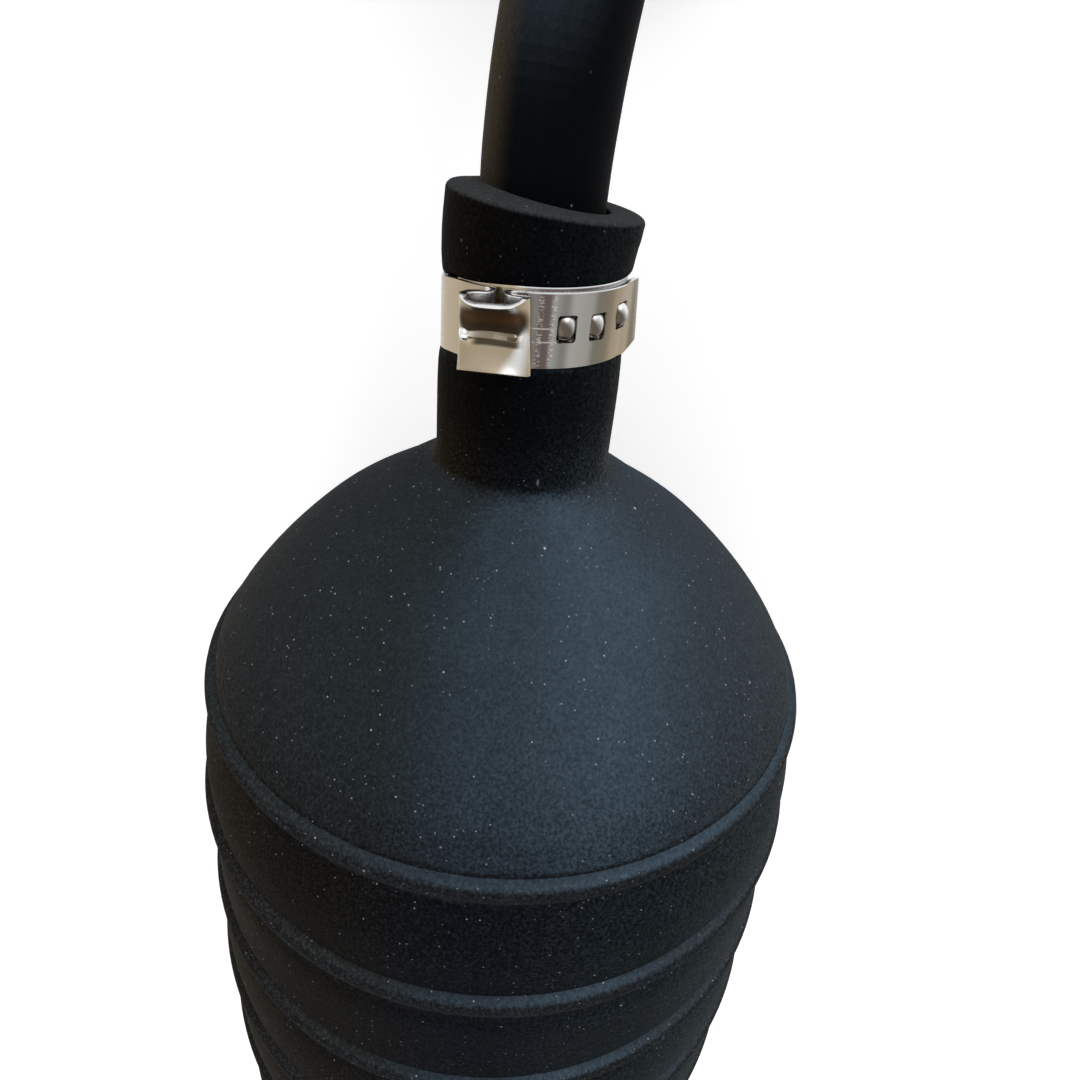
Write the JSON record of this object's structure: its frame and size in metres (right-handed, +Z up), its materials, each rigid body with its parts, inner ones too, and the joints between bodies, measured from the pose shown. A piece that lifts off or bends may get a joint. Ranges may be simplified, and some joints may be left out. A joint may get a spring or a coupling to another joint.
{
  "type": "siphon bulb pump",
  "caption": "Hand squeeze-bulb siphon pump: ribbed rubber bulb with a one-way ball valve in each neck, a clamped discharge hose and an open inlet neck.",
  "frame": {"origin": "on the surface below the middle of the bulb, which lies on its side", "axes": "+X along the bulb's axis in the direction of flow, towards the discharge neck and its hose, +Z up"},
  "size_m": [0.489, 0.0836, 0.0836],
  "materials": {
    "bulb_rubber": "matte moulded black rubber with a fine grain and a light bloom",
    "hose_rubber": "smooth extruded black rubber, satin",
    "seal_rubber": "smooth seal rubber",
    "clamp_steel": "bright rolled stainless strip with fine scratches",
    "valve_plastic": "natural moulded acetal",
    "valve_cap_plastic": "dark grey moulded plastic",
    "ball_steel": "polished stainless ball",
    "spring_steel": "drawn stainless wire",
    "tie_fabric": "woven black hook-and-loop strap"
  },
  "bodies": {
    "pump": {"bulb": "bulb_rubber", "discharge_clamp": "clamp_steel", "inlet_clamp": "clamp_steel", "outlet_valve_body": "valve_plastic", "outlet_valve_seat": "valve_cap_plastic", "outlet_valve_seal": "seal_rubber", "outlet_valve_spring": "spring_steel", "inlet_valve_body": "valve_plastic", "inlet_valve_retainer": "valve_cap_plastic", "inlet_valve_seal": "seal_rubber", "inlet_valve_spring": "spring_steel", "discharge_hose_end": "hose_rubber", "discharge_hose_run": "hose_rubber", "discharge_hose_hank": "hose_rubber", "hose_tie": "tie_fabric"},
    "outlet_ball": {"outlet_valve_ball": "ball_steel"},
    "inlet_ball": {"inlet_valve_ball": "ball_steel"}
  },
  "joints": [
    {"name": "outlet_valve_lift", "type": "slide", "parent": "pump", "child": "outlet_ball", "axis": [1, 0, 0], "range_m": [0, 0.0025], "stiffness_N_per_m": 30, "springref_m": -0.003, "deforming": ["outlet_valve_spring"]},
    {"name": "inlet_valve_lift", "type": "slide", "parent": "pump", "child": "inlet_ball", "axis": [1, 0, 0], "range_m": [0, 0.0025], "stiffness_N_per_m": 30, "springref_m": -0.003, "deforming": ["inlet_valve_spring"]}
  ]
}
